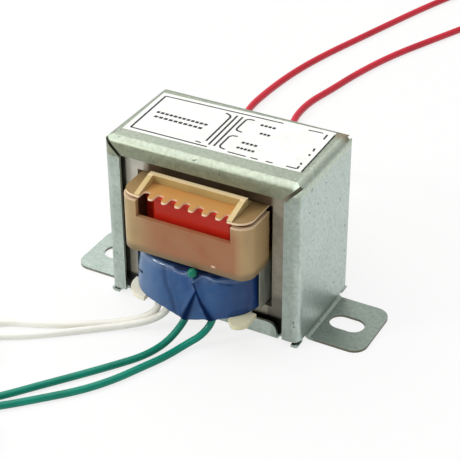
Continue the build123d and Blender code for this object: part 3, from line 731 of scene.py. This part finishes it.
def wound_plan(half, depth, corner, crown, count):
    """Plan of a wound ring at even steps of its length.

    The front and the back are arcs that rise by crown over the half width, the sides are straight,
    and the corner arcs are tangent to both."""
    bow = (half ** 2 + crown ** 2) / (2.0 * crown)
    cx = half - corner
    cy = depth - bow + np.sqrt((bow - corner) ** 2 - cx ** 2)
    lean = np.arctan2(cx, cy - depth + bow)
    t = np.linspace(0.0, lean, ARC_POINTS)
    u = np.linspace(lean, pi / 2, ARC_POINTS)
    x = np.concatenate([bow * np.sin(t), cx + corner * np.sin(u)])
    y = np.concatenate([depth - bow + bow * np.cos(t), cy + corner * np.cos(u)])
    x = np.concatenate([x[::-1], -x, -x[::-1], x, x[-1:]])
    y = np.concatenate([y[::-1], y, -y[::-1], -y, y[-1:]])
    run = np.concatenate([[0.0], np.cumsum(np.hypot(np.diff(x), np.diff(y)))])
    even = np.linspace(0.0, run[-1], count, endpoint=False)
    return np.interp(even, run, x), np.interp(even, run, y)


def smooth_noise(x, z, size, seed):
    """Sum of sine waves with seeded directions and phases, about size apart and mostly between -1 and 1."""
    count = 8
    draw = np.random.default_rng(seed)
    heading = draw.uniform(0.0, 2.0 * pi, count)
    phase = draw.uniform(0.0, 2.0 * pi, count)
    pitch = size * draw.uniform(0.7, 1.6, count)
    waves = [
        np.sin(2 * pi * (x * np.cos(h) + z * np.sin(h)) / p + f)
        for h, f, p in zip(heading, phase, pitch)]
    return np.sum(waves, axis=0) / (count / 2)


def tape_marks(x, z):
    """Painted shade and rise of the tape at each place (x, z), both between 0 and 1.

    Both come from the distance to the lines on its front: a lead below it is a raised band of painted shade
    that widens downwards, the fold is a low ridge with a stripe of painted shade to its left, and the slit
    and the creases are thin lines of painted shade, the creases broken up by noise."""
    fold_x, fold_z = np.array(FOLD[::-1]).T
    beside_fold = x - np.interp(z, fold_z, fold_x)
    cover = line_cover(distance_to_line(x, z, SLIT), reach=2.0, width=SLIT_WIDTH)
    cover = np.maximum(cover, bells(beside_fold, FOLD_SHADE))
    broken = np.clip(0.4 + 0.5 * smooth_noise(x, z, size=0.9, seed=12), 0.0, 0.8)
    for line in CREASES:
        crease = line_cover(distance_to_line(x, z, line), reach=1.8, width=CREASE_WIDTH)
        cover = np.maximum(cover, broken * crease)
    rise = FOLD_RISE * bell(distance_to_line(x, z, FOLD), 0.0, FOLD_RIDGE)
    band = BAND_WIDTH + BAND_SPREAD * np.clip(BAND_TOP - z, 0.0, BAND_RUN)
    for line in UNDER_TAPE:
        gap = distance_to_line(x, z, line)
        cover = np.maximum(cover, line_cover(gap, reach=1.6, width=band))
        rise = np.maximum(rise, bell(gap, 0.0, LEAD_RIDGE))
    return cover, rise


class TRANSFORMER_OT_secondary_tape(bpy.types.Operator):
    """Wind the blue tape over the secondary, with the leads' bulges and the creased upper edge"""
    bl_idname = "transformer.secondary_tape"
    bl_label = "Secondary tape"

    def execute(self, context):
        settings = context.scene.transformer_tape
        flare, bulge, crinkle = settings.flare / MM, settings.bulge / MM, settings.crinkle / MM

        # The plan, its outward direction and a share that is 1 at the middle of the front
        x, y = wound_plan(TAPE_HALF, TAPE_DEPTH, TAPE_CORNER, TAPE_CROWN, AROUND)
        away_x, away_y = np.gradient(y), -np.gradient(x)
        size = np.hypot(away_x, away_y)
        away_x, away_y = away_x / size, away_y / size
        front = np.clip(-y / TAPE_DEPTH, 0.0, 1.0) ** 3

        # Heights between the dipped upper edge and the sagging lower one, closer together at the top
        waver = TAPE_WAVER * smooth_noise(x, y, size=3.0, seed=3) * front
        top = TAPE_TOP - bells(x, DIPS) * front + waver
        bottom = TAPE_LOW - bells(x, SAG) * front
        share = np.linspace(0.0, 1.0, OUTSIDE)[:, None] ** 1.5
        z = top + (bottom - top) * share
        across = np.broadcast_to(x, z.shape)

        # The outside is the plan moved out by the flare, the rolled shoulder, ripples, marks and a bead
        curl = bells(x, CURLS) * front
        shoulder = CURL_OUT * curl * bell(share, SHOULDER, SHOULDER_WIDTH)
        shoulder = shoulder - (EDGE_IN + CURL_IN * curl) * np.exp(-share / SHOULDER)
        ripple = smooth_noise(across, z, size=4.0, seed=5)
        ripple = ripple + 0.5 * smooth_noise(across, z, size=1.6, seed=8)
        ripple = crinkle * ripple * (0.3 + 0.7 * front)
        cover, rise = tape_marks(across, z)
        bead = BEAD_RISE * bell(across, *BEAD_X) * bell(z, *BEAD_Z)
        out = flared(share, flare, front) + shoulder + ripple + (bulge * rise + bead) * front
        outer = np.stack([x + away_x * out, y + away_y * out, z], axis=-1)

        # The inside goes up again a wall's thickness further in, and the rings close the top
        wall = np.linspace(1.0, 0.0, INSIDE)[:, None]
        inner_z = CAP_LOW + (bottom + 0.1 - CAP_LOW) * wall
        inner_out = flared(wall, flare, front) - TAPE_WALL
        inner = np.stack([x + away_x * inner_out, y + away_y * inner_out, inner_z], axis=-1)
        cap = [
            np.stack([x - away_x * inset, y - away_y * inset, np.full(AROUND, height)], axis=-1)
            for inset, height in CAP_RINGS]
        points = np.concatenate([outer, inner, np.stack(cap)]) * MM
        # The inside and the closed top are fully dark with painted shade; only the front of the outside
        # takes the marks.
        painted_dark_inside = np.ones((INSIDE + len(CAP_RINGS), AROUND))
        weight = np.concatenate([cover * (y < 0.0), painted_dark_inside])

        # Colours of the film: light, dark, painted sheen at the left, painted shade round the right end and
        # over the leads.
        film = blue_polyester_tape("345886", "284C80", "56759C", "1E4078", "041C42")
        piece = grid_mesh("secondary_tape_wrap", points, film, "tape_shade", weight)
        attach(piece, "root")
        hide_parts("secondary_tape")
        return {"FINISHED"}


class TRANSFORMER_OT_sleeve_end(bpy.types.Operator):
    """Round the end of the green sleeve that stands out of the tape's upper edge"""
    bl_idname = "transformer.sleeve_end"
    bl_label = "Sleeve end"

    def execute(self, context):
        low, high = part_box("green_sleeve_end")
        radius = (high[0] - low[0]) / 2
        middle = ((low[0] + high[0]) / 2, (low[1] + high[1]) / 2, high[2] - radius)
        ball = bmesh.new()
        bmesh.ops.create_uvsphere(
            ball, u_segments=32, v_segments=20, radius=radius, matrix=Matrix.Translation(middle))
        mesh = bpy.data.meshes.new("sleeve_end")
        ball.to_mesh(mesh)
        ball.free()
        mesh.materials.append(pvc_insulation("green_pvc_sleeve", "0C7A60", "0A5C46", 0.12))
        mesh.shade_smooth()
        piece = placed("sleeve_end", mesh)
        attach(piece, "root")
        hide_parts("green_sleeve_end")
        return {"FINISHED"}


# Printed lines of the label in millimetres: x0, y0, x1, y1 and width.
BORDER = [
    (-15.75, 6.5, -15.3, -5.6, 0.36), (-15.7, 6.5, 6.4, 7.2, 0.3), (11.0, 7.1, 13.6, 7.25, 0.3),
    (-15.3, -5.6, -1.0, -5.5, 0.32), (2.7, -5.35, 6.0, -5.35, 0.3), (6.8, -5.3, 8.1, -5.3, 0.3),
    (9.5, -5.2, 10.7, -5.2, 0.3), (13.0, -5.05, 14.8, -5.0, 0.3), (14.45, 7.1, 14.55, 5.4, 0.32),
    (14.55, 2.1, 14.75, 1.1, 0.32), (14.65, 0.1, 14.8, -0.5, 0.32), (14.65, -3.0, 14.85, -3.6, 0.32),
    (14.8, -4.1, 14.88, -5.0, 0.32), (15.55, 7.6, 15.85, -5.5, 0.18),
]
SYMBOL = [
    (-3.7, 5.9, -2.75, 5.6, 0.36), (-2.75, 5.6, -2.37, 5.0, 0.36), (-2.37, 5.0, -2.05, -3.9, 0.36),
    (-1.57, 6.0, -1.1, -4.75, 0.36), (-0.57, 6.0, -0.15, -4.75, 0.36), (-3.6, -4.7, -2.5, -4.8, 0.3),
    (1.75, 5.9, 0.75, 5.8, 0.34), (0.75, 5.8, 0.38, 5.4, 0.34), (0.38, 5.4, 0.42, 1.9, 0.34),
    (0.42, 1.9, 0.75, 1.5, 0.34), (0.75, 1.5, 1.75, 1.33, 0.34), (1.8, -0.2, 0.9, -0.4, 0.34),
    (0.9, -0.4, 0.57, -0.9, 0.34), (0.57, -0.9, 0.67, -4.1, 0.34), (0.67, -4.1, 1.0, -4.7, 0.34),
    (1.0, -4.7, 1.95, -4.9, 0.34),
]
# Rows of plain dashes in millimetres, as x and y of both ends of a row and the length of a dash. The pitch
# is in lengths of a dash, and the width in millimetres.
ROWS = [
    (-14.2, 0.95, -4.0, 0.85, 0.62), (-13.8, -0.55, -4.3, -0.6, 0.7), (3.3, 5.0, 6.5, 5.0, 0.55),
    (4.5, 2.4, 6.5, 2.4, 0.5), (3.3, -1.6, 6.5, -1.6, 0.55), (3.3, -3.4, 6.5, -3.4, 0.5),
]
DASH_PITCH = 1.34
DASH_WIDTH = 0.62
# How far the ink reaches into the label and stands proud of it.
INK_SUNK = 0.02 * MM
INK_PROUD = 0.015 * MM


def dashes(rows):
    """Short bars along each row, a third of a dash apart."""
    bars = []
    for x0, y0, x1, y1, size in rows:
        slope = (y1 - y0) / (x1 - x0)
        for start in np.arange(0.0, x1 - x0 - size, size * DASH_PITCH):
            left = x0 + start
            end_y = y0 + slope * (start + size)
            bars.append((left, y0 + slope * start, left + size, end_y, DASH_WIDTH))
    return bars


class TRANSFORMER_OT_label_print(bpy.types.Operator):
    """Print the label with plain rules and a winding symbol"""
    bl_idname = "transformer.label_print"
    bl_label = "Label print"

    def execute(self, context):
        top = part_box("label")[1][2]
        bars = BORDER + SYMBOL + dashes(ROWS)
        piece = bar_mesh("label_print", bars, top - INK_SUNK, top + INK_PROUD, printing_ink())
        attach(piece, "root")
        return {"FINISHED"}


# Floor, lamps and camera in metres and degrees. Each lamp has its name, place, width and power.
FLOOR_REACH = 3.0
FLOOR_DROP = 0.02 * MM
AIM = (0.0, 0.0, 0.015)
LAMPS = (
    ("key_softbox", (-0.25, 0.05, 0.75), 1.3, 8.1),
    ("front_softbox", (-0.42, -0.42, 0.3), 0.12, 1.25),
)
CAMERA_PLACE = (0.0970, -0.1773, 0.1435)
CAMERA_HEADING = 28.65
CAMERA_ELEVATION = 32.97
CAMERA_ROLL = -0.38


def seen_rays(tree):
    """Light Path's outputs, and a share that is 1 for rays from the camera, off gloss or through glass."""
    path = add(tree, "LightPath").outputs
    seen = path["Is Camera Ray"]
    for kind in ("Is Glossy Ray", "Is Transmission Ray"):
        seen = add(tree, "Math", {0: seen, 1: path[kind]}, operation="MAXIMUM").outputs[0]
    return path, seen


# Matt white paper: it glows where it is seen, most of all for the camera, and keeps the rest for shadows.
def white_paper_sweep(colour):
    made = bpy.data.materials.new("white_paper_sweep")
    made.use_nodes = True
    tree = made.node_tree
    shader = tree.nodes["Principled BSDF"]
    shader.inputs["Base Color"].default_value = opaque(colour)
    shader.inputs["Roughness"].default_value = 0.9
    path, seen = seen_rays(tree)
    share = add(tree, "MapRange", {"Value": path["Is Camera Ray"], "To Min": 0.5, "To Max": 0.8})
    share = add(tree, "Math", {0: seen, 1: share.outputs[0]}, operation="MULTIPLY")
    glow = add(tree, "Emission", {"Strength": 1.0})
    both = add(tree, "MixShader", {0: share.outputs[0], 1: shader.outputs[0], 2: glow.outputs[0]})
    tree.links.new(both.outputs[0], tree.nodes["Material Output"].inputs["Surface"])
    return made


def white_room():
    """World of plain white light, brighter where it is seen than where it lights."""
    world = bpy.data.worlds.new("studio")
    world.use_nodes = True
    tree = world.node_tree
    seen = seen_rays(tree)[1]
    level = add(tree, "MapRange", {"Value": seen, "To Min": 0.3, "To Max": 0.5})
    back = tree.nodes["Background"]
    back.inputs["Color"].default_value = (1.0, 1.0, 1.0, 1.0)
    tree.links.new(level.outputs[0], back.inputs["Strength"])
    return world


def soft_lamp(name, place, width, power):
    """Square softbox at a place in metres, turned to face the object."""
    data = bpy.data.lights.new(name, "AREA")
    data.size = width
    data.energy = power
    lamp = placed(name, data)
    lamp.location = place
    lamp.rotation_euler = (Vector(place) - Vector(AIM)).to_track_quat("Z", "Y").to_euler()


class TRANSFORMER_OT_stage(bpy.types.Operator):
    """Set the floor, the studio light and the camera"""
    bl_idname = "transformer.stage"
    bl_label = "Stage"

    def execute(self, context):
        settings = context.scene.transformer_stage
        scene = context.scene
        scene.view_settings.view_transform = "Standard"

        mesh = bpy.data.meshes.new("floor")
        corners = [(x * FLOOR_REACH, y * FLOOR_REACH, 0) for x, y in ((-1, -1), (1, -1), (1, 1), (-1, 1))]
        mesh.from_pydata(corners, [], [(0, 1, 2, 3)])
        mesh.materials.append(white_paper_sweep(settings.floor))
        floor = placed("floor", mesh)
        floor.location.z = -FLOOR_DROP

        scene.world = white_room()
        for lamp in LAMPS:
            soft_lamp(*lamp)

        data = bpy.data.cameras.new("camera")
        data.lens = settings.lens
        data.sensor_width = 36.0
        data.clip_start = 0.01
        data.clip_end = 10.0
        camera = placed("camera", data)
        turn = Matrix.Rotation(radians(CAMERA_HEADING), 4, "Z")
        turn = turn @ Matrix.Rotation(radians(90.0 - CAMERA_ELEVATION), 4, "X")
        turn = turn @ Matrix.Rotation(radians(CAMERA_ROLL), 4, "Z")
        camera.matrix_world = Matrix.Translation(CAMERA_PLACE) @ turn
        scene.camera = camera
        return {"FINISHED"}


class TRANSFORMER_PT_panel(bpy.types.Panel):
    """Lists the transformer's operators and settings"""
    bl_label = "Transformer"
    bl_idname = "TRANSFORMER_PT_panel"
    bl_space_type = "VIEW_3D"
    bl_region_type = "UI"
    bl_category = "Transformer"

    def draw(self, context):
        for operator in OPERATORS:
            self.layout.operator(operator.bl_idname)
        for settings in (context.scene.transformer_leads, context.scene.transformer_tape,
                         context.scene.transformer_stage):
            for key in settings.__annotations__:
                self.layout.prop(settings, key)


GROUPS = (LeadSettings, TapeSettings, StageSettings)
OPERATORS = (
    TRANSFORMER_OT_finishes, TRANSFORMER_OT_leads, TRANSFORMER_OT_secondary_tape,
    TRANSFORMER_OT_sleeve_end, TRANSFORMER_OT_label_print, TRANSFORMER_OT_stage,
)


def register():
    for cls in (*GROUPS, *OPERATORS, TRANSFORMER_PT_panel):
        bpy.utils.register_class(cls)
    bpy.types.Scene.transformer_leads = PointerProperty(type=LeadSettings)
    bpy.types.Scene.transformer_tape = PointerProperty(type=TapeSettings)
    bpy.types.Scene.transformer_stage = PointerProperty(type=StageSettings)


def unregister():
    del bpy.types.Scene.transformer_stage
    del bpy.types.Scene.transformer_tape
    del bpy.types.Scene.transformer_leads
    for cls in reversed((*GROUPS, *OPERATORS, TRANSFORMER_PT_panel)):
        bpy.utils.unregister_class(cls)


def main():
    register()
    bpy.ops.transformer.finishes()
    bpy.ops.transformer.leads()
    bpy.ops.transformer.secondary_tape()
    bpy.ops.transformer.sleeve_end()
    bpy.ops.transformer.label_print()
    bpy.ops.transformer.stage()


if __name__ == "__main__":
    main()
